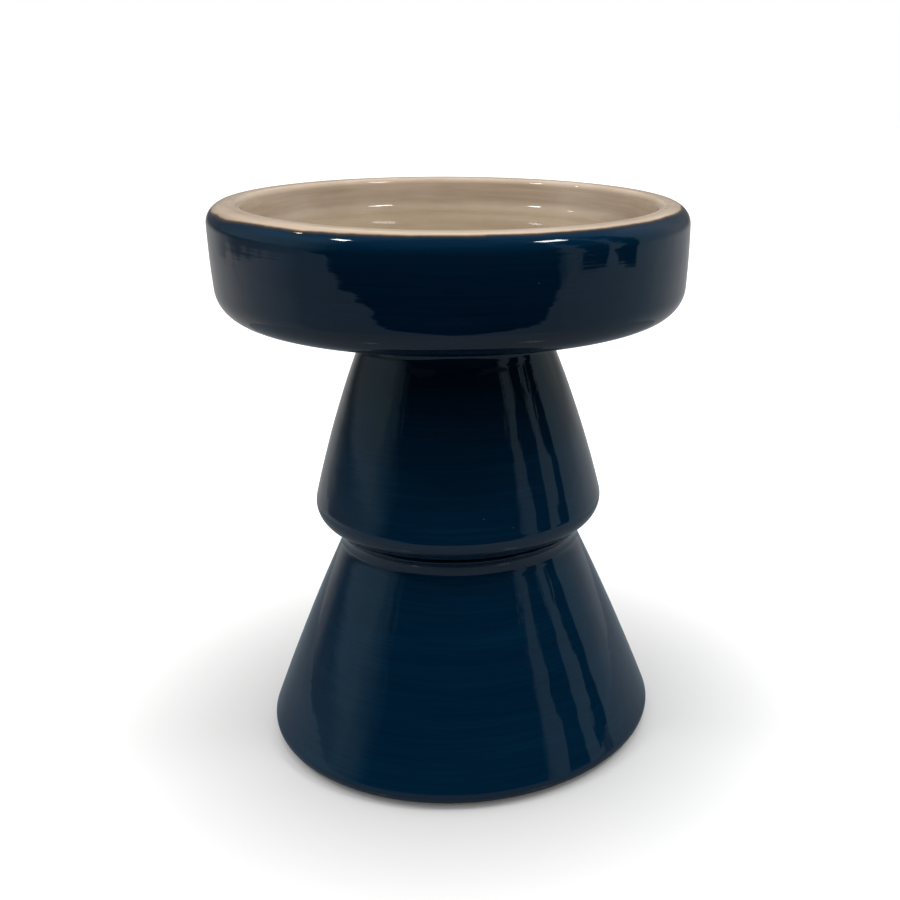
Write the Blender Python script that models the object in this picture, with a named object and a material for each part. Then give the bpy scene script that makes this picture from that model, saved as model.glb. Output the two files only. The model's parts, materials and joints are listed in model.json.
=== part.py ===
"""Glazed ceramic bird bath: a shallow round basin on a pedestal of two stacked, hollow, flared sections.

Metres, +Z up. The origin is the centre of the circle on which the foot pads stand.
Every ceramic piece is one closed wall, turned about +Z. Each upper piece has a short collar that drops
into the top of the piece below, and rests on a loose silicone seat ring.
"""

import math

import bmesh
import bpy

# ---- driving dimensions ---------------------------------------------------------------------------
BASIN_RADIUS = 0.170
BASIN_HEIGHT = 0.078
BASIN_WALL_DRAFT = 0.0032        # how much narrower the basin is at its foot
BASIN_WALL_BULGE = 0.001
BASIN_RIM_ROUNDING = 0.013
BASIN_FOOT_ROUNDING = 0.022
RIM_WIDTH = 0.023                # from the outer wall to the edge of the dish
RIM_INNER_ROUNDING = 0.005
DISH_DEPTH = 0.027
DISH_WALL_DRAFT = 0.004
DISH_CORNER_RADIUS = 0.012
BASIN_WALL = 0.008
HOLLOW_ROUNDING_SHARE = 1 / 3    # of the height of the hollow inside the basin

UPPER_HEIGHT = 0.1584            # from its underside to its top
UPPER_LAND_WIDTH = 0.0265        # flat ring round the socket in its top, out to the flared lip
UPPER_WAIST_INSET = 0.0153       # from the lip to the corner where the flare meets the flank
UPPER_WAIST_DROP = 0.018         # of that corner below the section's top
UPPER_WAIST_ROUNDING = 0.016
UPPER_BELLY_OVERHANG = 0.0356    # from its collar out to the corner that the belly's rounding softens
UPPER_BELLY_ROUNDING = 0.016
UPPER_INNER_BELLY_ROUNDING = UPPER_BELLY_ROUNDING / 2
UPPER_INNER_BELLY_INSET = UPPER_BELLY_ROUNDING / 3     # more than the wall, to keep it whole at the roll
UPPER_FLANK_BULGE = 0.003

LOWER_HEIGHT = 0.165
LOWER_LAND_WIDTH = 0.017
LOWER_WAIST_INSET = 0.0085
LOWER_WAIST_DROP = 0.009
LOWER_WAIST_ROUNDING = 0.014
LOWER_BASE_RADIUS = 0.1505
LOWER_BASE_EDGE_HEIGHT = 0.0055
LOWER_BASE_ROUNDING = 0.008
LOWER_FLANK_BULGE = 0.0015
FOOT_LAND_WIDTH = 0.016          # flat ring that carries the pads
FOOT_EDGE_INSET = 0.0075         # of the flat ring's outer edge from the base's radius

PEDESTAL_WALL = 0.009
LIP_ROUNDING = 0.0015

COLLAR_DEPTH = 0.014
COLLAR_WALL = 0.008
BASIN_COLLAR_RADIUS = 0.056
UPPER_COLLAR_RADIUS = 0.077
SOCKET_CLEARANCE = 0.002         # radial play between a collar and the socket round it
EDGE_ROUNDING = 0.0015

SEAT_RING_THICKNESS = 0.0012
SEAT_RING_WIDTH = 0.007
SEAT_RING_ROUNDING = 0.0003
SEAT_RING_INSET = 0.0015         # from the socket's edge

PAD_COUNT = 4
PAD_RADIUS = 0.006
PAD_HEIGHT = 0.002
PAD_EDGE_ROUNDING = 0.0005

TOUCH_GAP = 0.0003               # between the meshes of two pieces that touch

TURN_STEPS = 48
PAD_STEPS = 16
ARC_STEP = math.radians(30)
SEAT_RING_ARC_STEP = math.radians(90)
BASIN_WALL_STEPS = 2
FLANK_STEPS = 4
INNER_FLANK_STEPS = 3
POLE_RADIUS = 1e-7
MERGE_DISTANCE = 1e-6
SHARP_ANGLE = math.radians(35)

# ---- heights of the pieces ------------------------------------------------------------------------
FOOT_Z = PAD_HEIGHT + TOUCH_GAP
LOWER_TOP_Z = FOOT_Z + LOWER_HEIGHT
SEAT_STEP = SEAT_RING_THICKNESS + 2 * TOUCH_GAP
UPPER_BOTTOM_Z = LOWER_TOP_Z + SEAT_STEP
UPPER_TOP_Z = UPPER_BOTTOM_Z + UPPER_HEIGHT
BASIN_BOTTOM_Z = UPPER_TOP_Z + SEAT_STEP
RIM_Z = BASIN_BOTTOM_Z + BASIN_HEIGHT


# ---- outlines -------------------------------------------------------------------------------------
def unit(vector):
    length = math.hypot(*vector)
    return (vector[0] / length, vector[1] / length)


def fillet(before, corner, after, radius, arc_step):
    """Points of the arc of this radius that rounds the corner between its two neighbours."""
    to_before = unit((before[0] - corner[0], before[1] - corner[1]))
    to_after = unit((after[0] - corner[0], after[1] - corner[1]))
    cosine = to_before[0] * to_after[0] + to_before[1] * to_after[1]
    half_angle = math.acos(max(-1.0, min(1.0, cosine))) / 2
    bisector = unit((to_before[0] + to_after[0], to_before[1] + to_after[1]))
    reach = radius / math.sin(half_angle)
    centre = (corner[0] + bisector[0] * reach, corner[1] + bisector[1] * reach)
    tangent = radius / math.tan(half_angle)
    start = (corner[0] + to_before[0] * tangent, corner[1] + to_before[1] * tangent)
    end = (corner[0] + to_after[0] * tangent, corner[1] + to_after[1] * tangent)
    first = math.atan2(start[1] - centre[1], start[0] - centre[0])
    last = math.atan2(end[1] - centre[1], end[0] - centre[0])
    sweep = (last - first + math.pi) % (2 * math.pi) - math.pi
    steps = max(1, math.ceil(abs(sweep) / arc_step))
    return [
        (centre[0] + radius * math.cos(first + sweep * i / steps),
         centre[1] + radius * math.sin(first + sweep * i / steps))
        for i in range(steps + 1)
    ]


def outline(corners, closed, arc_step=ARC_STEP):
    """Radius and height of each point of an outline whose corners are (radius, height, rounding)."""
    points = []
    for i, (radius, height, rounding) in enumerate(corners):
        at_end = not closed and i in (0, len(corners) - 1)
        if at_end or rounding == 0:
            points.append((radius, height))
            continue
        before = corners[i - 1]
        after = corners[(i + 1) % len(corners)]
        points += fillet(before, (radius, height), after, rounding, arc_step)
    return points


def bulged(start, end, bulge, steps=FLANK_STEPS):
    """Corners between two ends of a flank that swells away from the axis by bulge at its middle."""
    run = (end[0] - start[0], end[1] - start[1])
    outward = unit((-run[1], run[0]))
    if outward[0] < 0:
        outward = (-outward[0], -outward[1])
    corners = []
    for i in range(1, steps):
        t = i / steps
        swell = 4 * bulge * t * (1 - t)
        radius = start[0] + run[0] * t + outward[0] * swell
        height = start[1] + run[1] * t + outward[1] * swell
        corners.append((radius, height, 0))
    return corners


# ---- solids ---------------------------------------------------------------------------------------
def turned(name, points, closed, material, steps=TURN_STEPS):
    """A solid turned about +Z from an outline, which is closed or has both its ends on the axis."""
    mesh = bpy.data.meshes.new(name)
    bm = bmesh.new()
    verts = [bm.verts.new((max(radius, POLE_RADIUS), 0, height)) for radius, height in points]
    edges = [bm.edges.new(pair) for pair in zip(verts, verts[1:])]
    if closed:
        edges.append(bm.edges.new((verts[-1], verts[0])))
    bmesh.ops.spin(
        bm, geom=verts + edges, axis=(0, 0, 1), cent=(0, 0, 0), steps=steps, angle=2 * math.pi, use_merge=True
    )
    bmesh.ops.remove_doubles(bm, verts=bm.verts, dist=MERGE_DISTANCE)
    bmesh.ops.recalc_face_normals(bm, faces=bm.faces)
    bm.to_mesh(mesh)
    bm.free()
    mesh.shade_smooth()
    mesh.set_sharp_from_angle(angle=SHARP_ANGLE)
    mesh.materials.append(material)
    piece = bpy.data.objects.new(name, mesh)
    bpy.context.collection.objects.link(piece)
    return piece


def material(name, colour, roughness, coat=0.0):
    made = bpy.data.materials.new(name)
    made.use_nodes = True
    shader = made.node_tree.nodes["Principled BSDF"]
    shader.inputs["Base Color"].default_value = (*colour, 1.0)
    shader.inputs["Roughness"].default_value = roughness
    shader.inputs["Metallic"].default_value = 0.0
    shader.inputs["Coat Weight"].default_value = coat
    return made


def collar(radius, bottom_z):
    """Corners of a collar under a piece: down its outer side, and up its inner side."""
    inner = radius - COLLAR_WALL
    return [
        (radius, bottom_z - COLLAR_DEPTH, EDGE_ROUNDING),
        (inner, bottom_z - COLLAR_DEPTH, EDGE_ROUNDING),
    ]


def make_basin(glaze):
    """Double-walled basin: the dish and the outer wall enclose a hollow that opens through the collar."""
    foot_radius = BASIN_RADIUS - BASIN_WALL_DRAFT
    dish_radius = BASIN_RADIUS - RIM_WIDTH
    floor_radius = dish_radius - DISH_WALL_DRAFT
    floor_z = RIM_Z - DISH_DEPTH
    hollow_top_z = floor_z - BASIN_WALL
    hollow_bottom_z = BASIN_BOTTOM_Z + BASIN_WALL
    hollow_radius = foot_radius - BASIN_WALL
    hollow_rounding = (hollow_top_z - hollow_bottom_z) * HOLLOW_ROUNDING_SHARE
    rim_edge = (BASIN_RADIUS, RIM_Z)
    foot_edge = (foot_radius, BASIN_BOTTOM_Z)
    corners = [
        (0, floor_z, 0),
        (floor_radius, floor_z, DISH_CORNER_RADIUS),
        (dish_radius, RIM_Z, RIM_INNER_ROUNDING),
        (*rim_edge, BASIN_RIM_ROUNDING),
        *bulged(rim_edge, foot_edge, BASIN_WALL_BULGE, BASIN_WALL_STEPS),
        (*foot_edge, BASIN_FOOT_ROUNDING),
        (BASIN_COLLAR_RADIUS, BASIN_BOTTOM_Z, 0),
        *collar(BASIN_COLLAR_RADIUS, BASIN_BOTTOM_Z),
        (BASIN_COLLAR_RADIUS - COLLAR_WALL, hollow_bottom_z, EDGE_ROUNDING),
        (hollow_radius, hollow_bottom_z, hollow_rounding),
        (hollow_radius, hollow_top_z, hollow_rounding),
        (0, hollow_top_z, 0),
    ]
    return turned("basin", outline(corners, closed=False), False, glaze)


def make_upper_section(glaze):
    """Upper pedestal section: a bell with a rolled-in belly, a socket in its top and a collar below."""
    socket_radius = BASIN_COLLAR_RADIUS + SOCKET_CLEARANCE
    lip_radius = socket_radius + UPPER_LAND_WIDTH
    waist = (lip_radius - UPPER_WAIST_INSET, UPPER_TOP_Z - UPPER_WAIST_DROP)
    belly = (UPPER_COLLAR_RADIUS + UPPER_BELLY_OVERHANG, UPPER_BOTTOM_Z)
    inner_bottom_z = UPPER_BOTTOM_Z + PEDESTAL_WALL
    inner_top = (socket_radius, UPPER_TOP_Z - COLLAR_DEPTH - PEDESTAL_WALL)
    inner_belly = (belly[0] - PEDESTAL_WALL - UPPER_INNER_BELLY_INSET, inner_bottom_z)
    corners = [
        (socket_radius, UPPER_TOP_Z, EDGE_ROUNDING),
        (lip_radius, UPPER_TOP_Z, LIP_ROUNDING),
        (*waist, UPPER_WAIST_ROUNDING),
        *bulged(waist, belly, UPPER_FLANK_BULGE),
        (*belly, UPPER_BELLY_ROUNDING),
        (UPPER_COLLAR_RADIUS, UPPER_BOTTOM_Z, 0),
        *collar(UPPER_COLLAR_RADIUS, UPPER_BOTTOM_Z),
        (UPPER_COLLAR_RADIUS - COLLAR_WALL, inner_bottom_z, EDGE_ROUNDING),
        (*inner_belly, UPPER_INNER_BELLY_ROUNDING),
        *reversed(bulged(inner_top, inner_belly, UPPER_FLANK_BULGE, INNER_FLANK_STEPS)),
        (*inner_top, 0),
    ]
    return turned("upper_section", outline(corners, closed=True), True, glaze)


def make_lower_section(glaze):
    """Lower pedestal section: a cone open below, with a flat ring to stand on and a socket in its top."""
    socket_radius = UPPER_COLLAR_RADIUS + SOCKET_CLEARANCE
    lip_radius = socket_radius + LOWER_LAND_WIDTH
    waist = (lip_radius - LOWER_WAIST_INSET, LOWER_TOP_Z - LOWER_WAIST_DROP)
    base_edge = (LOWER_BASE_RADIUS, FOOT_Z + LOWER_BASE_EDGE_HEIGHT)
    land_outer = LOWER_BASE_RADIUS - FOOT_EDGE_INSET
    land_inner = land_outer - FOOT_LAND_WIDTH
    inner_top = (socket_radius, LOWER_TOP_Z - COLLAR_DEPTH - PEDESTAL_WALL)
    inner_foot = (land_inner, FOOT_Z + FOOT_LAND_WIDTH)
    corners = [
        (socket_radius, LOWER_TOP_Z, EDGE_ROUNDING),
        (lip_radius, LOWER_TOP_Z, LIP_ROUNDING),
        (*waist, LOWER_WAIST_ROUNDING),
        *bulged(waist, base_edge, LOWER_FLANK_BULGE),
        (*base_edge, LOWER_BASE_ROUNDING),
        (land_outer, FOOT_Z, EDGE_ROUNDING),
        (land_inner, FOOT_Z, EDGE_ROUNDING),
        (*inner_foot, 0),
        *reversed(bulged(inner_top, inner_foot, LOWER_FLANK_BULGE, INNER_FLANK_STEPS)),
        (*inner_top, 0),
    ]
    return turned("lower_section", outline(corners, closed=True), True, glaze)


def make_seat_ring(name, socket_radius, land_z, rubber):
    """Flat ring with rounded edges that lies on the land round a socket."""
    inner = socket_radius + SEAT_RING_INSET
    outer = inner + SEAT_RING_WIDTH
    bottom = land_z + TOUCH_GAP
    top = bottom + SEAT_RING_THICKNESS
    corners = [
        (outer, top, SEAT_RING_ROUNDING),
        (outer, bottom, SEAT_RING_ROUNDING),
        (inner, bottom, SEAT_RING_ROUNDING),
        (inner, top, SEAT_RING_ROUNDING),
    ]
    return turned(name, outline(corners, closed=True, arc_step=SEAT_RING_ARC_STEP), True, rubber)


def make_pads(rubber):
    """Round pads under the flat ring, evenly spaced."""
    land_middle = LOWER_BASE_RADIUS - FOOT_EDGE_INSET - FOOT_LAND_WIDTH / 2
    corners = [
        (0, 0, 0),
        (PAD_RADIUS, 0, PAD_EDGE_ROUNDING),
        (PAD_RADIUS, PAD_HEIGHT, 0),
        (0, PAD_HEIGHT, 0),
    ]
    points = outline(corners, closed=False)
    for i in range(PAD_COUNT):
        angle = 2 * math.pi * (i + 0.5) / PAD_COUNT
        pad = turned(f"foot_pad_{i + 1}", points, False, rubber, PAD_STEPS)
        pad.location = (land_middle * math.cos(angle), land_middle * math.sin(angle), 0)


def main():
    for old in list(bpy.data.objects):
        bpy.data.objects.remove(old, do_unlink=True)
    glaze = material("blue_glaze", (0.003, 0.016, 0.035), 0.08, coat=0.5)
    rubber = material("clear_silicone", (0.62, 0.62, 0.60), 0.35)
    make_lower_section(glaze)
    make_seat_ring("pedestal_seat_ring", UPPER_COLLAR_RADIUS + SOCKET_CLEARANCE, LOWER_TOP_Z, rubber)
    make_upper_section(glaze)
    make_seat_ring("basin_seat_ring", BASIN_COLLAR_RADIUS + SOCKET_CLEARANCE, UPPER_TOP_Z, rubber)
    make_basin(glaze)
    make_pads(rubber)


main()
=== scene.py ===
"""Looks of a glazed ceramic bird bath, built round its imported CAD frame.

The three turned castings, the seat rings and the foot pads are remade as fine meshes on the CAD's own sizes.
Metres, +Z up, with the origin on the floor under the axis that every piece is turned about.
"""

import json
import math

import bpy
from mathutils import Matrix, Vector, noise


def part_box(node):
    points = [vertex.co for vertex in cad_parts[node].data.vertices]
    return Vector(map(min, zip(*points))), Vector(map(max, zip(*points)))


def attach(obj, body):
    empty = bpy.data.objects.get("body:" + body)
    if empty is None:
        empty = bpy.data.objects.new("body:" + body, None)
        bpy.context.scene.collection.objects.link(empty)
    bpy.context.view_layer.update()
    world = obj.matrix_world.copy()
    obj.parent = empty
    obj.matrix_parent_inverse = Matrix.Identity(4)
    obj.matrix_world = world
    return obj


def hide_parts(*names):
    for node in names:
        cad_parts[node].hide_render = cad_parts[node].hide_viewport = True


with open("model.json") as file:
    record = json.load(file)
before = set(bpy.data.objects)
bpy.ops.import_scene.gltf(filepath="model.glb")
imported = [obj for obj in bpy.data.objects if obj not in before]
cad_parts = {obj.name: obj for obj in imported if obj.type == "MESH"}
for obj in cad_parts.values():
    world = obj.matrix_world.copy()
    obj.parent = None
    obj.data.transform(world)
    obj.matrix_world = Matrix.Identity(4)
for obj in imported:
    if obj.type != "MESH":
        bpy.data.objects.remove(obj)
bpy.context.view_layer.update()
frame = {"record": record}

# ---- sizes, read from the frame where it has them -------------------------------------------------
BASIN_LOW, BASIN_HIGH = (Vector(corner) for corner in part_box("basin"))
UPPER_LOW, UPPER_HIGH = (Vector(corner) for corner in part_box("upper_section"))
LOWER_LOW, LOWER_HIGH = (Vector(corner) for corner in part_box("lower_section"))
COLLAR_DEPTH = 0.014
RIM_Z = BASIN_HIGH.z
BASIN_BOTTOM_Z = BASIN_LOW.z + COLLAR_DEPTH
UPPER_TOP_Z = UPPER_HIGH.z
UPPER_BOTTOM_Z = UPPER_LOW.z + COLLAR_DEPTH
LOWER_TOP_Z = LOWER_HIGH.z
FOOT_Z = LOWER_LOW.z

BASIN_RADIUS = 0.170
BASIN_FOOT_RADIUS = 0.1668
BASIN_FOOT_ROUNDING = 0.022
BASIN_WALL_BULGE = 0.001
BASIN_WALL_STEPS = 2
BASIN_WALL = 0.008
HOLLOW_ROUNDING_SHARE = 1 / 3    # of the height of the hollow inside the basin
DISH_RADIUS = 0.147
DISH_FLOOR_RADIUS = 0.143
DISH_DEPTH = 0.027
DISH_CORNER_ROUNDING = 0.012
RIM_ROUNDING = 0.013
RIM_INNER_ROUNDING = 0.005

UPPER_LIP_RADIUS = 0.0845
UPPER_WAIST_RADIUS = 0.0692
UPPER_WAIST_DROP = 0.018
UPPER_WAIST_ROUNDING = 0.016
UPPER_BELLY_RADIUS = 0.1126
UPPER_BELLY_ROUNDING = 0.016
UPPER_INNER_BELLY_RADIUS = 0.0983
UPPER_INNER_BELLY_ROUNDING = 0.008
UPPER_FLANK_BULGE = 0.003

LOWER_LIP_RADIUS = 0.096
LOWER_WAIST_RADIUS = 0.0875
LOWER_WAIST_DROP = 0.009
LOWER_WAIST_ROUNDING = 0.014
LOWER_BASE_RADIUS = 0.1505
LOWER_BASE_EDGE_HEIGHT = 0.0055
LOWER_BASE_ROUNDING = 0.008
LOWER_FLANK_BULGE = 0.0015
FOOT_LAND_OUTER = 0.143
FOOT_LAND_INNER = 0.127
FOOT_BEVEL_HEIGHT = 0.016

BASIN_COLLAR_RADIUS = 0.056
UPPER_COLLAR_RADIUS = 0.077
COLLAR_WALL = 0.008
COLLAR_ROOT_ROUNDING = 0.001
BASIN_BARE_WIDTH = 0.014         # unglazed ring round the basin's collar
UPPER_BARE_WIDTH = 0.013
SOCKET_CLEARANCE = 0.002
PEDESTAL_WALL = 0.009
EDGE_ROUNDING = 0.0015
LIP_ROUNDING = 0.0015

RING_WIDTH = 0.007
RING_ROUNDING_SHARE = 0.4        # of the ring's thickness
PAD_LOWER_ROUNDING = 0.0007
PAD_UPPER_ROUNDING = 0.0002
PAD_TOP_SHARE = 0.97             # of the pad's radius
PAD_COUNT = 4

TURN_STEPS = 256
RING_STEPS = 192
PAD_STEPS = 64
ARC_STEP = math.radians(6)
MIN_ARC_STEPS = 3
FLANK_STEPS = 4
FLANK_SOFTENING = 0.35           # share of a flank's step that each softened corner takes on both sides
MESH_STEP = 0.0025               # longest edge along an outline
POLE_RADIUS = 1e-6               # a point nearer the axis than this is on it
SHARP_ANGLE = math.radians(40)

HAND_WOBBLE = 0.00035            # how far the hand-finished surface wanders inward
WANDER_ROUND = 1.6               # how quickly it wanders round the axis
WANDER_UP = 9                    # and up the wall, per metre
WANDER_FADE_RADIUS = 0.05        # inside this radius it fades out toward the axis

GLAZE, DISH, CLAY = range(3)     # material slots of a turned casting
BLUE_EDGE_RADIUS = 0.1655        # of the line where the blue glaze meets the dish's beige
BLUE_EDGE_CENTRE = (-0.0015, 0.0020, 0.0)
BLUE_EDGE_WAVER = 0.003
WALL_SHADE_LOW_Z = BASIN_BOTTOM_Z + 0.006      # painted shade: between these heights the blue is darkened on the basin's upright wall, where less light falls
WALL_SHADE_HIGH_Z = RIM_Z - 0.030


# ---- outlines -------------------------------------------------------------------------------------
def unit(vector):
    length = math.hypot(*vector)
    return (vector[0] / length, vector[1] / length)


def fillet(before, corner, after, radius):
    """Points of the arc of this radius that rounds the corner between its two neighbours."""
    to_before = unit((before[0] - corner[0], before[1] - corner[1]))
    to_after = unit((after[0] - corner[0], after[1] - corner[1]))
    cosine = to_before[0] * to_after[0] + to_before[1] * to_after[1]
    half_angle = math.acos(max(-1.0, min(1.0, cosine))) / 2
    bisector = unit((to_before[0] + to_after[0], to_before[1] + to_after[1]))
    reach = radius / math.sin(half_angle)
    centre = (corner[0] + bisector[0] * reach, corner[1] + bisector[1] * reach)
    tangent = radius / math.tan(half_angle)
    start = (corner[0] + to_before[0] * tangent, corner[1] + to_before[1] * tangent)
    end = (corner[0] + to_after[0] * tangent, corner[1] + to_after[1] * tangent)
    first = math.atan2(start[1] - centre[1], start[0] - centre[0])
    last = math.atan2(end[1] - centre[1], end[0] - centre[0])
    sweep = (last - first + math.pi) % (2 * math.pi) - math.pi
    steps = max(MIN_ARC_STEPS, math.ceil(abs(sweep) / ARC_STEP))
    return [
        (centre[0] + radius * math.cos(first + sweep * i / steps),
         centre[1] + radius * math.sin(first + sweep * i / steps))
        for i in range(steps + 1)
    ]


def bulged(start, end, bulge, finish, steps=FLANK_STEPS):
    """Corners between two ends of a flank that swells away from the axis by bulge at its middle."""
    run = (end[0] - start[0], end[1] - start[1])
    length = math.hypot(*run)
    outward = unit((-run[1], run[0]))
    if outward[0] < 0:
        outward = (-outward[0], -outward[1])
    turn = 8 * bulge / (length * steps)
    rounding = FLANK_SOFTENING * length / steps / math.tan(turn / 2)
    corners = []
    for i in range(1, steps):
        t = i / steps
        swell = 4 * bulge * t * (1 - t)
        radius = start[0] + run[0] * t + outward[0] * swell
        height = start[1] + run[1] * t + outward[1] * swell
        corners.append((radius, height, rounding, finish))
    return corners


def outline(corners, closed):
    """Radius, height and finish of each point of the outline with these corners.

    A corner is (radius, height, rounding, finish of what follows).
    """
    points = []
    for i, (radius, height, rounding, finish) in enumerate(corners):
        at_end = not closed and i in (0, len(corners) - 1)
        if at_end or rounding == 0:
            arc = [(radius, height)]
        else:
            arc = fillet(corners[i - 1], (radius, height), corners[(i + 1) % len(corners)], rounding)
        points += [(*point, finish) for point in arc]
    return evened(points, closed)


def evened(points, closed):
    """The same outline with its long straight stretches cut into short ones."""
    made = []
    for i, (radius, height, finish) in enumerate(points):
        made.append((radius, height, finish))
        if i == len(points) - 1 and not closed:
            break
        after = points[(i + 1) % len(points)]
        pieces = math.ceil(math.dist((radius, height), after[:2]) / MESH_STEP)
        for k in range(1, pieces):
            t = k / pieces
            between = (radius + (after[0] - radius) * t, height + (after[1] - height) * t)
            made.append((*between, finish))
    return made


# ---- meshes ---------------------------------------------------------------------------------------
def wobble(radius, height, angle, seed):
    """How far a hand-finished wall stands in from its true radius here, as a negative number."""
    across, along = math.cos(angle) * WANDER_ROUND, math.sin(angle) * WANDER_ROUND
    spot = Vector((across, along, height * WANDER_UP + seed))
    slow = noise.noise(spot)
    quick = noise.noise(spot * 3.1) * 0.25
    return -HAND_WOBBLE * (0.6 + 0.5 * (slow + quick)) * min(1.0, radius / WANDER_FADE_RADIUS)


def turned(name, points, closed, materials, steps=TURN_STEPS, hand_made=True, seed=0.0):
    """A solid turned about +Z from an outline, which is closed or has both its ends on the axis."""
    verts = []
    rows = []
    for radius, height, _ in points:
        if radius < POLE_RADIUS:
            rows.append([len(verts)])
            verts.append((0.0, 0.0, height))
            continue
        row = []
        for i in range(steps):
            angle = 2 * math.pi * i / steps
            r = radius + (wobble(radius, height, angle, seed) if hand_made else 0.0)
            row.append(len(verts))
            verts.append((r * math.cos(angle), r * math.sin(angle), height))
        rows.append(row)
    faces = []
    finishes = []
    pairs = list(zip(rows, rows[1:]))
    if closed:
        pairs.append((rows[-1], rows[0]))
    for (first, second), (_, _, finish) in zip(pairs, points):
        for i in range(steps):
            j = (i + 1) % steps
            if len(first) == 1:
                face = (first[0], second[i], second[j])
            elif len(second) == 1:
                face = (first[i], second[0], first[j])
            else:
                face = (first[i], second[i], second[j], first[j])
            faces.append(face)
            finishes.append(finish)
    mesh = bpy.data.meshes.new(name)
    mesh.from_pydata(verts, [], faces)
    mesh.polygons.foreach_set("material_index", finishes)
    for made in materials:
        mesh.materials.append(made)
    mesh.validate()
    mesh.shade_smooth()
    mesh.set_sharp_from_angle(angle=SHARP_ANGLE)
    piece = bpy.data.objects.new(name, mesh)
    bpy.context.collection.objects.link(piece)
    return piece


def face_out(piece):
    """Turns the faces outward if the solid is inside out."""
    mesh = piece.data
    volume = 0.0
    for poly in mesh.polygons:
        a = mesh.vertices[poly.vertices[0]].co
        for k in range(1, len(poly.vertices) - 1):
            b = mesh.vertices[poly.vertices[k]].co
            c = mesh.vertices[poly.vertices[k + 1]].co
            volume += a.dot(b.cross(c))
    if volume < 0:
        mesh.flip_normals()
    return piece


def collar(radius, bare_width, bottom_z, inside_z):
    """Corners of a collar under a casting: in along the bare underside, down, in, and up to the inside."""
    inner = radius - COLLAR_WALL
    return [
        (radius + bare_width, bottom_z, 0, CLAY),
        (radius, bottom_z, COLLAR_ROOT_ROUNDING, CLAY),
        (radius, bottom_z - COLLAR_DEPTH, EDGE_ROUNDING, CLAY),
        (inner, bottom_z - COLLAR_DEPTH, EDGE_ROUNDING, CLAY),
        (inner, inside_z, EDGE_ROUNDING, CLAY),
    ]


def make_basin(materials):
    floor_z = RIM_Z - DISH_DEPTH
    hollow_top_z = floor_z - BASIN_WALL
    hollow_bottom_z = BASIN_BOTTOM_Z + BASIN_WALL
    hollow_radius = BASIN_FOOT_RADIUS - BASIN_WALL
    hollow_rounding = (hollow_top_z - hollow_bottom_z) * HOLLOW_ROUNDING_SHARE
    rim_edge = (BASIN_RADIUS, RIM_Z)
    foot_edge = (BASIN_FOOT_RADIUS, BASIN_BOTTOM_Z)
    corners = [
        (0, floor_z, 0, DISH),
        (DISH_FLOOR_RADIUS, floor_z, DISH_CORNER_ROUNDING, DISH),
        (DISH_RADIUS, RIM_Z, RIM_INNER_ROUNDING, DISH),
        (*rim_edge, RIM_ROUNDING, DISH),
        *bulged(rim_edge, foot_edge, BASIN_WALL_BULGE, GLAZE, BASIN_WALL_STEPS),
        (*foot_edge, BASIN_FOOT_ROUNDING, GLAZE),
        *collar(BASIN_COLLAR_RADIUS, BASIN_BARE_WIDTH, BASIN_BOTTOM_Z, hollow_bottom_z),
        (hollow_radius, hollow_bottom_z, hollow_rounding, CLAY),
        (hollow_radius, hollow_top_z, hollow_rounding, CLAY),
        (0, hollow_top_z, 0, CLAY),
    ]
    return face_out(turned("basin_casting", outline(corners, False), False, materials, seed=1.3))


def make_upper_section(materials):
    socket_radius = BASIN_COLLAR_RADIUS + SOCKET_CLEARANCE
    waist = (UPPER_WAIST_RADIUS, UPPER_TOP_Z - UPPER_WAIST_DROP)
    belly = (UPPER_BELLY_RADIUS, UPPER_BOTTOM_Z)
    inner_bottom_z = UPPER_BOTTOM_Z + PEDESTAL_WALL
    inner_top = (socket_radius, UPPER_TOP_Z - COLLAR_DEPTH - PEDESTAL_WALL)
    inner_belly = (UPPER_INNER_BELLY_RADIUS, inner_bottom_z)
    corners = [
        (socket_radius, UPPER_TOP_Z, EDGE_ROUNDING, GLAZE),
        (UPPER_LIP_RADIUS, UPPER_TOP_Z, LIP_ROUNDING, GLAZE),
        (*waist, UPPER_WAIST_ROUNDING, GLAZE),
        *bulged(waist, belly, UPPER_FLANK_BULGE, GLAZE),
        (*belly, UPPER_BELLY_ROUNDING, GLAZE),
        *collar(UPPER_COLLAR_RADIUS, UPPER_BARE_WIDTH, UPPER_BOTTOM_Z, inner_bottom_z),
        (*inner_belly, UPPER_INNER_BELLY_ROUNDING, CLAY),
        *reversed(bulged(inner_top, inner_belly, UPPER_FLANK_BULGE, CLAY)),
        (*inner_top, 0, CLAY),
    ]
    points = outline(corners, True)
    return face_out(turned("upper_section_casting", points, True, materials, seed=7.9))


def make_lower_section(materials):
    socket_radius = UPPER_COLLAR_RADIUS + SOCKET_CLEARANCE
    waist = (LOWER_WAIST_RADIUS, LOWER_TOP_Z - LOWER_WAIST_DROP)
    base_edge = (LOWER_BASE_RADIUS, FOOT_Z + LOWER_BASE_EDGE_HEIGHT)
    inner_top = (socket_radius, LOWER_TOP_Z - COLLAR_DEPTH - PEDESTAL_WALL)
    inner_foot = (FOOT_LAND_INNER, FOOT_Z + FOOT_BEVEL_HEIGHT)
    corners = [
        (socket_radius, LOWER_TOP_Z, EDGE_ROUNDING, GLAZE),
        (LOWER_LIP_RADIUS, LOWER_TOP_Z, LIP_ROUNDING, GLAZE),
        (*waist, LOWER_WAIST_ROUNDING, GLAZE),
        *bulged(waist, base_edge, LOWER_FLANK_BULGE, GLAZE),
        (*base_edge, LOWER_BASE_ROUNDING, GLAZE),
        (FOOT_LAND_OUTER, FOOT_Z, EDGE_ROUNDING, CLAY),
        (FOOT_LAND_INNER, FOOT_Z, EDGE_ROUNDING, CLAY),
        (*inner_foot, 0, CLAY),
        *reversed(bulged(inner_top, inner_foot, LOWER_FLANK_BULGE, CLAY)),
        (*inner_top, 0, CLAY),
    ]
    points = outline(corners, True)
    return face_out(turned("lower_section_casting", points, True, materials, seed=4.2))


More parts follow.
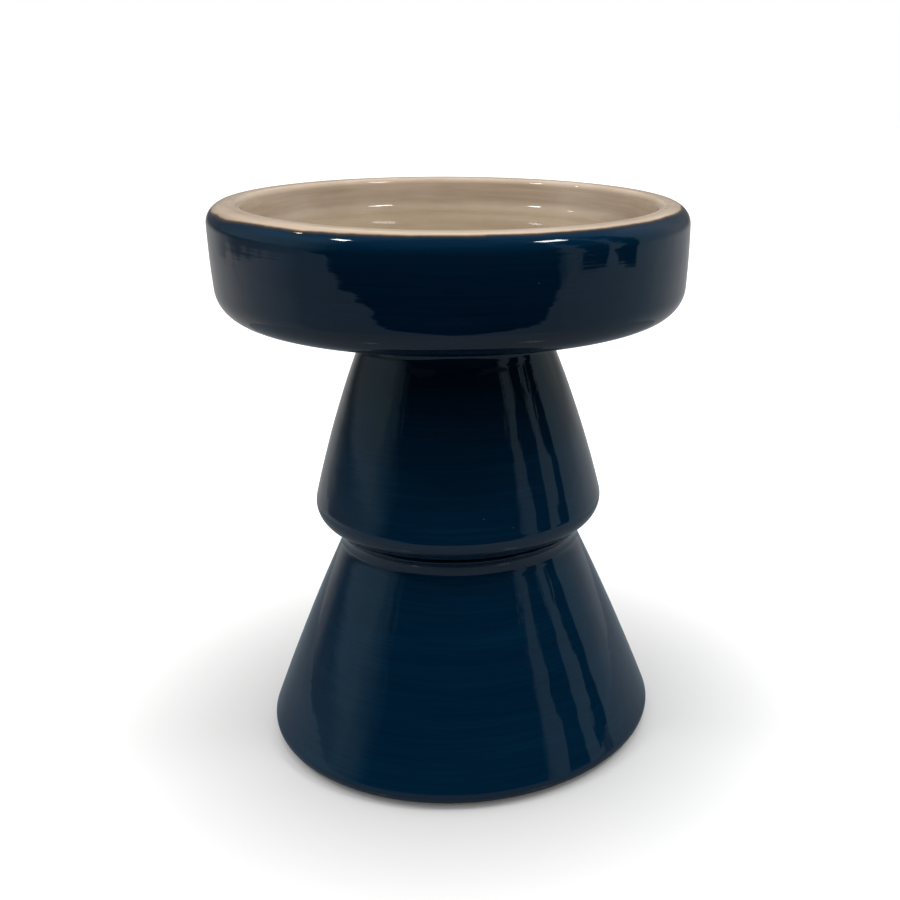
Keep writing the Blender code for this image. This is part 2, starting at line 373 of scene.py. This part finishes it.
def make_ring(node, rubber):
    """Flat seat ring with half-round edges, on the CAD ring's box."""
    low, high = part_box(node)
    outer = high[0]
    inner = outer - RING_WIDTH
    rounding = (high[2] - low[2]) * RING_ROUNDING_SHARE
    corners = [
        (outer, high[2], rounding, 0),
        (outer, low[2], rounding, 0),
        (inner, low[2], rounding, 0),
        (inner, high[2], rounding, 0),
    ]
    points = outline(corners, True)
    return face_out(turned(node + "_soft", points, True, [rubber], RING_STEPS, hand_made=False))


def make_pad(node, rubber):
    """Round pad with a softened lower edge, turned about its own middle."""
    low, high = (Vector(corner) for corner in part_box(node))
    radius = (high.x - low.x) / 2
    height = high.z - low.z
    corners = [
        (0, 0, 0, 0),
        (radius, 0, PAD_LOWER_ROUNDING, 0),
        (radius * PAD_TOP_SHARE, height, PAD_UPPER_ROUNDING, 0),
        (0, height, 0, 0),
    ]
    points = outline(corners, False)
    piece = face_out(turned(node + "_soft", points, False, [rubber], PAD_STEPS, hand_made=False))
    middle = Vector(((low.x + high.x) / 2, (low.y + high.y) / 2, low.z))
    piece.data.transform(Matrix.Translation(middle))
    return piece


# ---- materials ------------------------------------------------------------------------------------
class Nodes:
    """A node tree, with short ways to add and join nodes."""

    def __init__(self, tree):
        self.tree = tree

    def add(self, kind, **settings):
        node = self.tree.nodes.new(kind)
        for key, value in settings.items():
            setattr(node, key, value)
        return node

    def put(self, value, socket):
        if isinstance(value, bpy.types.NodeSocket):
            self.tree.links.new(value, socket)
        else:
            socket.default_value = value

    def math(self, operation, first, second=0.0, third=0.0):
        node = self.add("ShaderNodeMath", operation=operation)
        for value, socket in zip((first, second, third), node.inputs):
            self.put(value, socket)
        return node.outputs[0]

    def vector(self, x, y, z):
        node = self.add("ShaderNodeCombineXYZ")
        for value, socket in zip((x, y, z), node.inputs):
            self.put(value, socket)
        return node.outputs[0]

    def parts(self, vector):
        node = self.add("ShaderNodeSeparateXYZ")
        self.put(vector, node.inputs[0])
        return node.outputs

    def noise(self, vector, scale, detail=3.0, roughness=0.5):
        node = self.add("ShaderNodeTexNoise")
        self.put(vector, node.inputs["Vector"])
        node.inputs["Scale"].default_value = scale
        node.inputs["Detail"].default_value = detail
        node.inputs["Roughness"].default_value = roughness
        return node.outputs["Fac"]

    def blend(self, first, second, share):
        """The first number with this share of the second mixed in."""
        rest = self.math("MULTIPLY", first, 1.0 - share)
        return self.math("ADD", rest, self.math("MULTIPLY", second, share))

    def less(self, value, amount):
        return self.math("SUBTRACT", value, amount)

    def inverse(self, value):
        return self.math("SUBTRACT", 1.0, value)

    def ramp(self, fac, stops):
        node = self.add("ShaderNodeValToRGB")
        self.put(fac, node.inputs[0])
        elements = node.color_ramp.elements
        while len(elements) < len(stops):
            elements.new(0.5)
        for element, (place, colour) in zip(elements, stops):
            element.position = place
            element.color = (*colour, 1.0)
        return node.outputs[0]

    def span(self, value, low, high):
        """0 below low, 1 above high, smooth between."""
        node = self.add("ShaderNodeMapRange", interpolation_type="SMOOTHSTEP")
        self.put(value, node.inputs["Value"])
        self.put(low, node.inputs["From Min"])
        self.put(high, node.inputs["From Max"])
        return node.outputs[0]

    def mix(self, fac, first, second, blend="MIX"):
        node = self.add("ShaderNodeMix", data_type="RGBA", blend_type=blend)
        self.put(fac, node.inputs[0])
        self.put(first, node.inputs[6])
        self.put(second, node.inputs[7])
        return node.outputs[2]

    def bump(self, height, distance, normal=None):
        node = self.add("ShaderNodeBump")
        node.inputs["Strength"].default_value = 1.0
        node.inputs["Distance"].default_value = distance
        self.put(height, node.inputs["Height"])
        if normal is not None:
            self.put(normal, node.inputs["Normal"])
        return node.outputs[0]


class Finish(Nodes):
    """The node tree of a new material, with its shader and the object's coordinates."""

    def __init__(self, name):
        self.material = bpy.data.materials.new(name)
        self.material.use_nodes = True
        super().__init__(self.material.node_tree)
        self.shader = self.tree.nodes["Principled BSDF"]
        self.object_coords = self.add("ShaderNodeTexCoord").outputs["Object"]


def rgba(red, green, blue):
    return (red, green, blue, 1.0)


def radius_of(n, place=None):
    x, y, _ = n.parts(place or n.object_coords)
    return n.math("SQRT", n.math("ADD", n.math("MULTIPLY", x, x), n.math("MULTIPLY", y, y)))


def brushed(n, along, across):
    """Broken streaks that run round the axis: slow along the stroke, quick across it."""
    x, y, z = n.parts(n.object_coords)
    line = n.math("MULTIPLY", n.math("SUBTRACT", z, radius_of(n)), across)
    return n.vector(n.math("MULTIPLY", x, along), n.math("MULTIPLY", y, along), line)


def blue_colour(n):
    """Deep teal-navy with brush streaks, painted shade that darkens the basin's upright wall, and a few pale
    pores.
    """
    streaks = n.noise(brushed(n, along=14.0, across=420.0), 1.0, detail=4.0, roughness=0.62)
    bands = n.noise(brushed(n, along=5.0, across=60.0), 1.0, detail=2.0)
    deep = n.ramp(n.blend(streaks, bands, 0.4), [
        (0.30, (0.0004, 0.0152, 0.0405)),
        (0.50, (0.0004, 0.0190, 0.0490)),
        (0.70, (0.0008, 0.0265, 0.0635)),
    ])
    pores = n.add("ShaderNodeTexVoronoi", feature="F1")
    n.put(n.object_coords, pores.inputs["Vector"])
    pores.inputs["Scale"].default_value = 55.0
    near = n.math("LESS_THAN", pores.outputs["Distance"], 0.016)
    few = n.math("GREATER_THAN", n.parts(pores.outputs["Color"])[0], 0.62)
    height = n.parts(n.object_coords)[2]
    above_foot = n.span(height, WALL_SHADE_LOW_Z - 0.008, WALL_SHADE_LOW_Z)
    near_rim = n.span(height, WALL_SHADE_HIGH_Z, WALL_SHADE_HIGH_Z + 0.016)
    # painted shade: the basin's upright wall is darkened for the lesser light it gets, while the rim's
    # rounding above and the foot below stay lighter
    wall_shade = n.mix(1.0, deep, rgba(0.66, 0.66, 0.74), "MULTIPLY")
    deep = n.mix(n.math("SUBTRACT", above_foot, near_rim), deep, wall_shade)
    return n.mix(n.math("MULTIPLY", near, few), deep, rgba(0.24, 0.27, 0.29))


def beige_colour(n):
    """Beige-grey with brush streaks and cloudy patches, lighter on the dish's wall and rim: thinner glaze on
    the rim, and painted light on the dish's upright wall.
    """
    streaks = n.noise(brushed(n, along=16.0, across=330.0), 1.0, detail=4.0, roughness=0.6)
    patches = n.noise(n.object_coords, 16.0, roughness=0.55)
    colour = n.ramp(n.blend(streaks, patches, 0.45), [
        (0.30, (0.235, 0.176, 0.114)),
        (0.50, (0.290, 0.222, 0.148)),
        (0.70, (0.345, 0.272, 0.192)),
    ])
    # lighter from just inside the dish floor's edge outward: thinner glaze on the rim, and painted light on
    # the dish's upright wall
    thin_glaze_and_lit_wall = n.span(radius_of(n), DISH_FLOOR_RADIUS - 0.008, DISH_RADIUS + 0.003)
    lighter_glaze_and_painted_light = n.mix(1.0, colour, rgba(2.12, 2.19, 2.48), "MULTIPLY")
    return n.mix(thin_glaze_and_lit_wall, colour, lighter_glaze_and_painted_light)


def glaze_surface(n, roughness):
    """Glassy, with a slow uneven flow and faint brush ridges under it."""
    flow = n.bump(n.noise(n.object_coords, 26.0, detail=2.0), 0.0005)
    ridges = n.bump(n.noise(brushed(n, along=12.0, across=260.0), 1.0), 0.00003, flow)
    n.put(ridges, n.shader.inputs["Normal"])
    n.shader.inputs["Roughness"].default_value = roughness
    n.shader.inputs["IOR"].default_value = 1.52


def blue_glaze():
    n = Finish("blue_glaze")
    n.put(blue_colour(n), n.shader.inputs["Base Color"])
    glaze_surface(n, 0.025)
    return n.material


def dish_glaze():
    """Beige glaze of the dish and rim, which gives way to blue on the rim's outer rounding."""
    n = Finish("dish_glaze")
    wander = n.less(n.noise(n.object_coords, 30.0, roughness=0.6), 0.5)
    shifts = zip(n.parts(n.object_coords), BLUE_EDGE_CENTRE)
    off_centre = n.vector(*(n.less(part, shift) for part, shift in shifts))
    edge = n.math("MULTIPLY_ADD", wander, BLUE_EDGE_WAVER, radius_of(n, off_centre))
    blue = n.span(edge, BLUE_EDGE_RADIUS - 0.0004, BLUE_EDGE_RADIUS + 0.0010)
    burnt = n.span(edge, BLUE_EDGE_RADIUS - 0.0022, BLUE_EDGE_RADIUS - 0.0002)
    beige = n.mix(burnt, beige_colour(n), rgba(0.075, 0.045, 0.028))
    n.put(n.mix(blue, beige, blue_colour(n)), n.shader.inputs["Base Color"])
    glaze_surface(n, 0.04)
    return n.material


def bare_clay():
    """Unglazed fired body, on what stands in the kiln and inside the hollows."""
    n = Finish("bare_clay")
    grain = n.noise(n.object_coords, 900.0, detail=4.0, roughness=0.7)
    patches = n.noise(n.object_coords, 30.0)
    body = n.ramp(n.blend(grain, patches, 0.5), [
        (0.35, (0.48, 0.38, 0.28)),
        (0.65, (0.66, 0.56, 0.44)),
    ])
    n.put(body, n.shader.inputs["Base Color"])
    n.put(n.bump(grain, 0.0002), n.shader.inputs["Normal"])
    n.shader.inputs["Roughness"].default_value = 0.85
    return n.material


def silicone():
    """Hazy, faintly pebbled silicone of the seat rings and foot pads."""
    n = Finish("clear_silicone")
    haze = n.ramp(n.noise(n.object_coords, 120.0), [
        (0.3, (0.50, 0.50, 0.48)),
        (0.7, (0.66, 0.66, 0.64)),
    ])
    n.put(haze, n.shader.inputs["Base Color"])
    pebbles = n.noise(n.object_coords, 1400.0, detail=2.0)
    n.put(n.bump(pebbles, 0.00004), n.shader.inputs["Normal"])
    n.shader.inputs["Roughness"].default_value = 0.35
    n.shader.inputs["Subsurface Weight"].default_value = 0.3
    n.shader.inputs["Subsurface Radius"].default_value = (0.003, 0.003, 0.003)
    return n.material


# ---- studio ---------------------------------------------------------------------------------------
CAMERA_DISTANCE = 0.8683         # in front of the axis
CAMERA_HEIGHT = 0.5111
CAMERA_YAW = 0.1278
CAMERA_PITCH = 0.3252            # downward
CAMERA_ROLL = 0.0192
CAMERA_LENS = 47.6
CAMERA_SHIFT = -0.171

FLOOR_RADIUS = 9.0
FLOOR_Z = -0.0004
TABLE_RADIUS = 0.62
TABLE_Z = -0.003
DISC_STEPS = 96
LIGHTS_AIM = (0, 0, 0.30)


def make_camera():
    """A hand-held viewpoint a little above the rim, aimed past the object's right side."""
    flat = math.cos(CAMERA_PITCH)
    forward = Vector((math.sin(CAMERA_YAW) * flat, math.cos(CAMERA_YAW) * flat, -math.sin(CAMERA_PITCH)))
    level = Vector((math.cos(CAMERA_YAW), -math.sin(CAMERA_YAW), 0))
    upright = level.cross(forward)
    right = level * math.cos(CAMERA_ROLL) + upright * math.sin(CAMERA_ROLL)
    up = upright * math.cos(CAMERA_ROLL) - level * math.sin(CAMERA_ROLL)
    data = bpy.data.cameras.new("camera")
    data.sensor_width = 36.0
    data.lens = CAMERA_LENS
    data.shift_x = CAMERA_SHIFT
    data.clip_start = 0.01
    data.clip_end = 50
    camera = bpy.data.objects.new("camera", data)
    camera.matrix_world = Matrix((
        (right.x, up.x, -forward.x, 0.0),
        (right.y, up.y, -forward.y, -CAMERA_DISTANCE),
        (right.z, up.z, -forward.z, CAMERA_HEIGHT),
        (0.0, 0.0, 0.0, 1.0),
    ))
    bpy.context.collection.objects.link(camera)
    bpy.context.scene.camera = camera


def area_light(name, place, width, height, power, colour=(1, 1, 1)):
    data = bpy.data.lights.new(name, "AREA")
    data.shape = "RECTANGLE"
    data.size = width
    data.size_y = height
    data.energy = power
    data.color = colour
    lamp = bpy.data.objects.new(name, data)
    lamp.location = place
    lamp.rotation_euler = (Vector(LIGHTS_AIM) - Vector(place)).to_track_quat("-Z", "Y").to_euler()
    lamp.visible_camera = False
    bpy.context.collection.objects.link(lamp)
    return lamp


def studio_sheet(name, colour, roughness):
    n = Finish(name)
    n.shader.inputs["Base Color"].default_value = rgba(*colour)
    n.shader.inputs["Roughness"].default_value = roughness
    n.shader.inputs["Specular IOR Level"].default_value = 0.2
    return n


def disc(name, radius, height, made):
    """A flat round sheet facing up."""
    turns = [2 * math.pi * i / DISC_STEPS for i in range(DISC_STEPS)]
    verts = [(radius * math.cos(turn), radius * math.sin(turn), 0) for turn in turns]
    mesh = bpy.data.meshes.new(name)
    mesh.from_pydata(verts, [], [tuple(range(DISC_STEPS))])
    mesh.materials.append(made)
    piece = bpy.data.objects.new(name, mesh)
    piece.location.z = height
    bpy.context.collection.objects.link(piece)
    return piece


def make_studio():
    """A wide pale floor with a painted shadow round the object's foot, and the small grey table top that the
    glaze mirrors instead of it.
    """
    white = studio_sheet("studio_white", (0.86, 0.86, 0.86), 0.7)
    white.shader.inputs["Emission Color"].default_value = rgba(1, 1, 1)
    # painted shadow: the floor glows little near the object's foot and more further out, which paints a soft
    # dark halo round the foot and keeps the far floor white
    beyond_painted_shadow = white.span(radius_of(white), 0.15, 0.52)
    white.put(white.math("MULTIPLY_ADD", beyond_painted_shadow, 0.55, 0.04), white.shader.inputs["Emission Strength"])
    floor = disc("studio_floor", FLOOR_RADIUS, FLOOR_Z, white.material)
    floor.visible_glossy = False
    floor.visible_diffuse = False
    floor.visible_shadow = False
    grey = studio_sheet("studio_grey", (0.235, 0.275, 0.31), 0.08)
    table = disc("studio_table", TABLE_RADIUS, TABLE_Z, grey.material)


def make_lights():
    overhead = area_light("overhead", (0, 0.05, 2.2), 0.9, 0.9, 9.5)
    overhead.visible_glossy = False
    area_light("lamp_left", (-1.10, -0.50, 1.75), 0.24, 0.16, 3.6)
    area_light("lamp_right", (0.97, -0.60, 1.75), 0.36, 0.20, 5.0)
    area_light("lamp_warm", (-1.20, 0.32, 1.75), 0.07, 0.07, 0.6, colour=(1.0, 0.72, 0.42))


# What the glaze mirrors round the object, by the degrees turned from the camera's side: negative is left.
LOW_ROOM = [
    (-180, (0.42, 0.41, 0.40)),
    (-125, (0.46, 0.47, 0.48)),
    (-100, (0.36, 0.40, 0.45)),
    (-83, (0.28, 0.36, 0.43)),
    (-72, (0.16, 0.23, 0.28)),
    (-62, (0.008, 0.009, 0.010)),
    (50, (0.008, 0.009, 0.010)),
    (54, (0.22, 0.30, 0.35)),
    (100, (0.28, 0.37, 0.43)),
    (128, (0.44, 0.47, 0.50)),
    (180, (0.42, 0.41, 0.40)),
]
HIGH_ROOM = [
    (-180, (0.16, 0.16, 0.15)),
    (-135, (0.10, 0.105, 0.11)),
    (-112, (0.20, 0.27, 0.31)),
    (-95, (0.23, 0.34, 0.40)),
    (-76, (0.24, 0.34, 0.37)),
    (-66, (0.12, 0.20, 0.24)),
    (-54, (0.008, 0.009, 0.010)),
    (48, (0.008, 0.009, 0.010)),
    (51, (0.20, 0.27, 0.31)),
    (100, (0.24, 0.34, 0.38)),
    (128, (0.33, 0.34, 0.35)),
    (150, (0.16, 0.16, 0.15)),
    (180, (0.16, 0.16, 0.15)),
]
CEILING = (0.09, 0.10, 0.11)
LOW_FLOOR = (0.20, 0.28, 0.33)       # shows nearer the middle the lower the glaze looks
IN_SHADE = (0.02, 0.03, 0.04)
DARK = (0.010, 0.012, 0.014)
DARK_UPRIGHTS = [(66, 7), (88, 5)]   # what stands on the right: middle and half width, in degrees


def around_ramp(n, around, stops):
    """The colour at an angle round the object, from stops by degrees."""
    share = n.math("MULTIPLY_ADD", around, 0.5 / math.pi, 0.5)
    return n.ramp(share, [(degrees / 360 + 0.5, colour) for degrees, colour in stops])


def with_uprights(n, walls, around, z, coarse, fine):
    """The walls with the dark uprights in front of them, which end above the floor."""
    foot = n.math("MULTIPLY_ADD", fine, 0.05, z)
    below = n.inverse(n.span(foot, -0.20, -0.185))
    for middle, half_width in DARK_UPRIGHTS:
        width = n.math("MULTIPLY_ADD", coarse, math.radians(14), math.radians(half_width))
        away = n.math("ABSOLUTE", n.less(around, math.radians(middle)))
        outside = n.span(n.math("SUBTRACT", away, width), 0.0, math.radians(2))
        walls = n.mix(n.math("MAXIMUM", outside, below), rgba(*DARK), walls)
    return walls


def with_shelf(n, walls, around, z, coarse):
    """The walls with a low shaded shelf behind on the left."""
    edge = n.math("MULTIPLY_ADD", coarse, 0.06, z)
    height = n.math("MULTIPLY", n.span(edge, -0.185, -0.165), n.inverse(n.span(z, -0.02, 0.06)))
    left = n.inverse(n.span(around, math.radians(-118), math.radians(-50)))
    behind = n.span(around, math.radians(-150), math.radians(-112))
    shade = n.math("MULTIPLY", height, n.math("MULTIPLY", left, behind))
    return n.mix(n.math("MULTIPLY", shade, 0.75), walls, rgba(*IN_SHADE))


def mirrored_room(n, direction):
    """The room's brightness in one direction: dark in front, grey at the sides, ragged where these meet."""
    x, y, z = n.parts(direction)
    coarse = n.less(n.noise(direction, 5.0, roughness=0.6), 0.5)
    torn = n.less(n.noise(direction, 26.0, roughness=0.65), 0.5)
    layers = n.vector(n.math("MULTIPLY", x, 3.0), n.math("MULTIPLY", y, 3.0), n.math("MULTIPLY", z, 7.0))
    fine = n.less(n.noise(layers, 1.0, detail=4.0, roughness=0.6), 0.5)
    ragged = n.math("ADD", n.math("MULTIPLY", coarse, 0.22), n.math("MULTIPLY", fine, 0.045))
    ragged = n.math("MULTIPLY_ADD", torn, n.math("MULTIPLY", n.span(z, 0.10, 0.30), 0.42), ragged)
    around = n.math("ADD", n.math("ARCTAN2", x, n.math("MULTIPLY", y, -1.0)), ragged)
    low = around_ramp(n, around, LOW_ROOM)
    high = around_ramp(n, around, HIGH_ROOM)
    reach = n.math("MULTIPLY_ADD", n.math("ADD", z, 0.25), math.radians(150), math.radians(50))
    past = n.span(n.math("SUBTRACT", n.math("ABSOLUTE", around), reach), 0.0, math.radians(3))
    low = n.mix(past, low, rgba(*LOW_FLOOR), "LIGHTEN")
    walls = n.mix(n.span(z, -0.14, 0.0), low, high)
    walls = with_uprights(n, walls, around, z, coarse, fine)
    walls = with_shelf(n, walls, around, z, coarse)
    return n.mix(n.span(z, 0.62, 0.80), walls, n.mix(0.55, walls, rgba(*CEILING)))


def make_world():
    """White to the camera, soft light from above, and the room's mirror image in whatever is glossy."""
    world = bpy.data.worlds.new("studio")
    world.use_nodes = True
    n = Nodes(world.node_tree)
    n.tree.nodes.clear()
    direction = n.add("ShaderNodeTexCoord").outputs["Generated"]
    rays = n.add("ShaderNodeLightPath").outputs
    overhead = n.span(n.parts(direction)[2], 0.34, 0.62)
    soft = n.math("MULTIPLY_ADD", overhead, 1.10, 0.04)
    colour = n.mix(rays["Is Camera Ray"], n.vector(soft, soft, soft), rgba(1, 1, 1))
    colour = n.mix(rays["Is Glossy Ray"], colour, mirrored_room(n, direction))
    light = n.add("ShaderNodeBackground")
    n.put(colour, light.inputs["Color"])
    out = n.add("ShaderNodeOutputWorld")
    n.put(light.outputs[0], out.inputs["Surface"])
    bpy.context.scene.world = world


# ---- the object -----------------------------------------------------------------------------------
def dress():
    castings = [blue_glaze(), dish_glaze(), bare_clay()]
    rubber = silicone()
    made = [
        (make_basin(castings), "basin", "blue_glaze"),
        (make_upper_section(castings), "upper_section", "blue_glaze"),
        (make_lower_section(castings), "lower_section", "blue_glaze"),
        (make_ring("basin_seat_ring", rubber), "basin_seat_ring", "clear_silicone"),
        (make_ring("pedestal_seat_ring", rubber), "pedestal_seat_ring", "clear_silicone"),
    ]
    for i in range(PAD_COUNT):
        node = f"foot_pad_{i + 1}"
        made.append((make_pad(node, rubber), node, "clear_silicone"))
    bodies = frame["record"]["behaviour"]["bodies"]
    for piece, node, slot in made:
        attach(piece, next(body for body, nodes in bodies.items() if node in nodes))
        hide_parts(node)


make_camera()
make_studio()
make_lights()
make_world()
dress()
bpy.context.scene.view_settings.view_transform = "Standard"
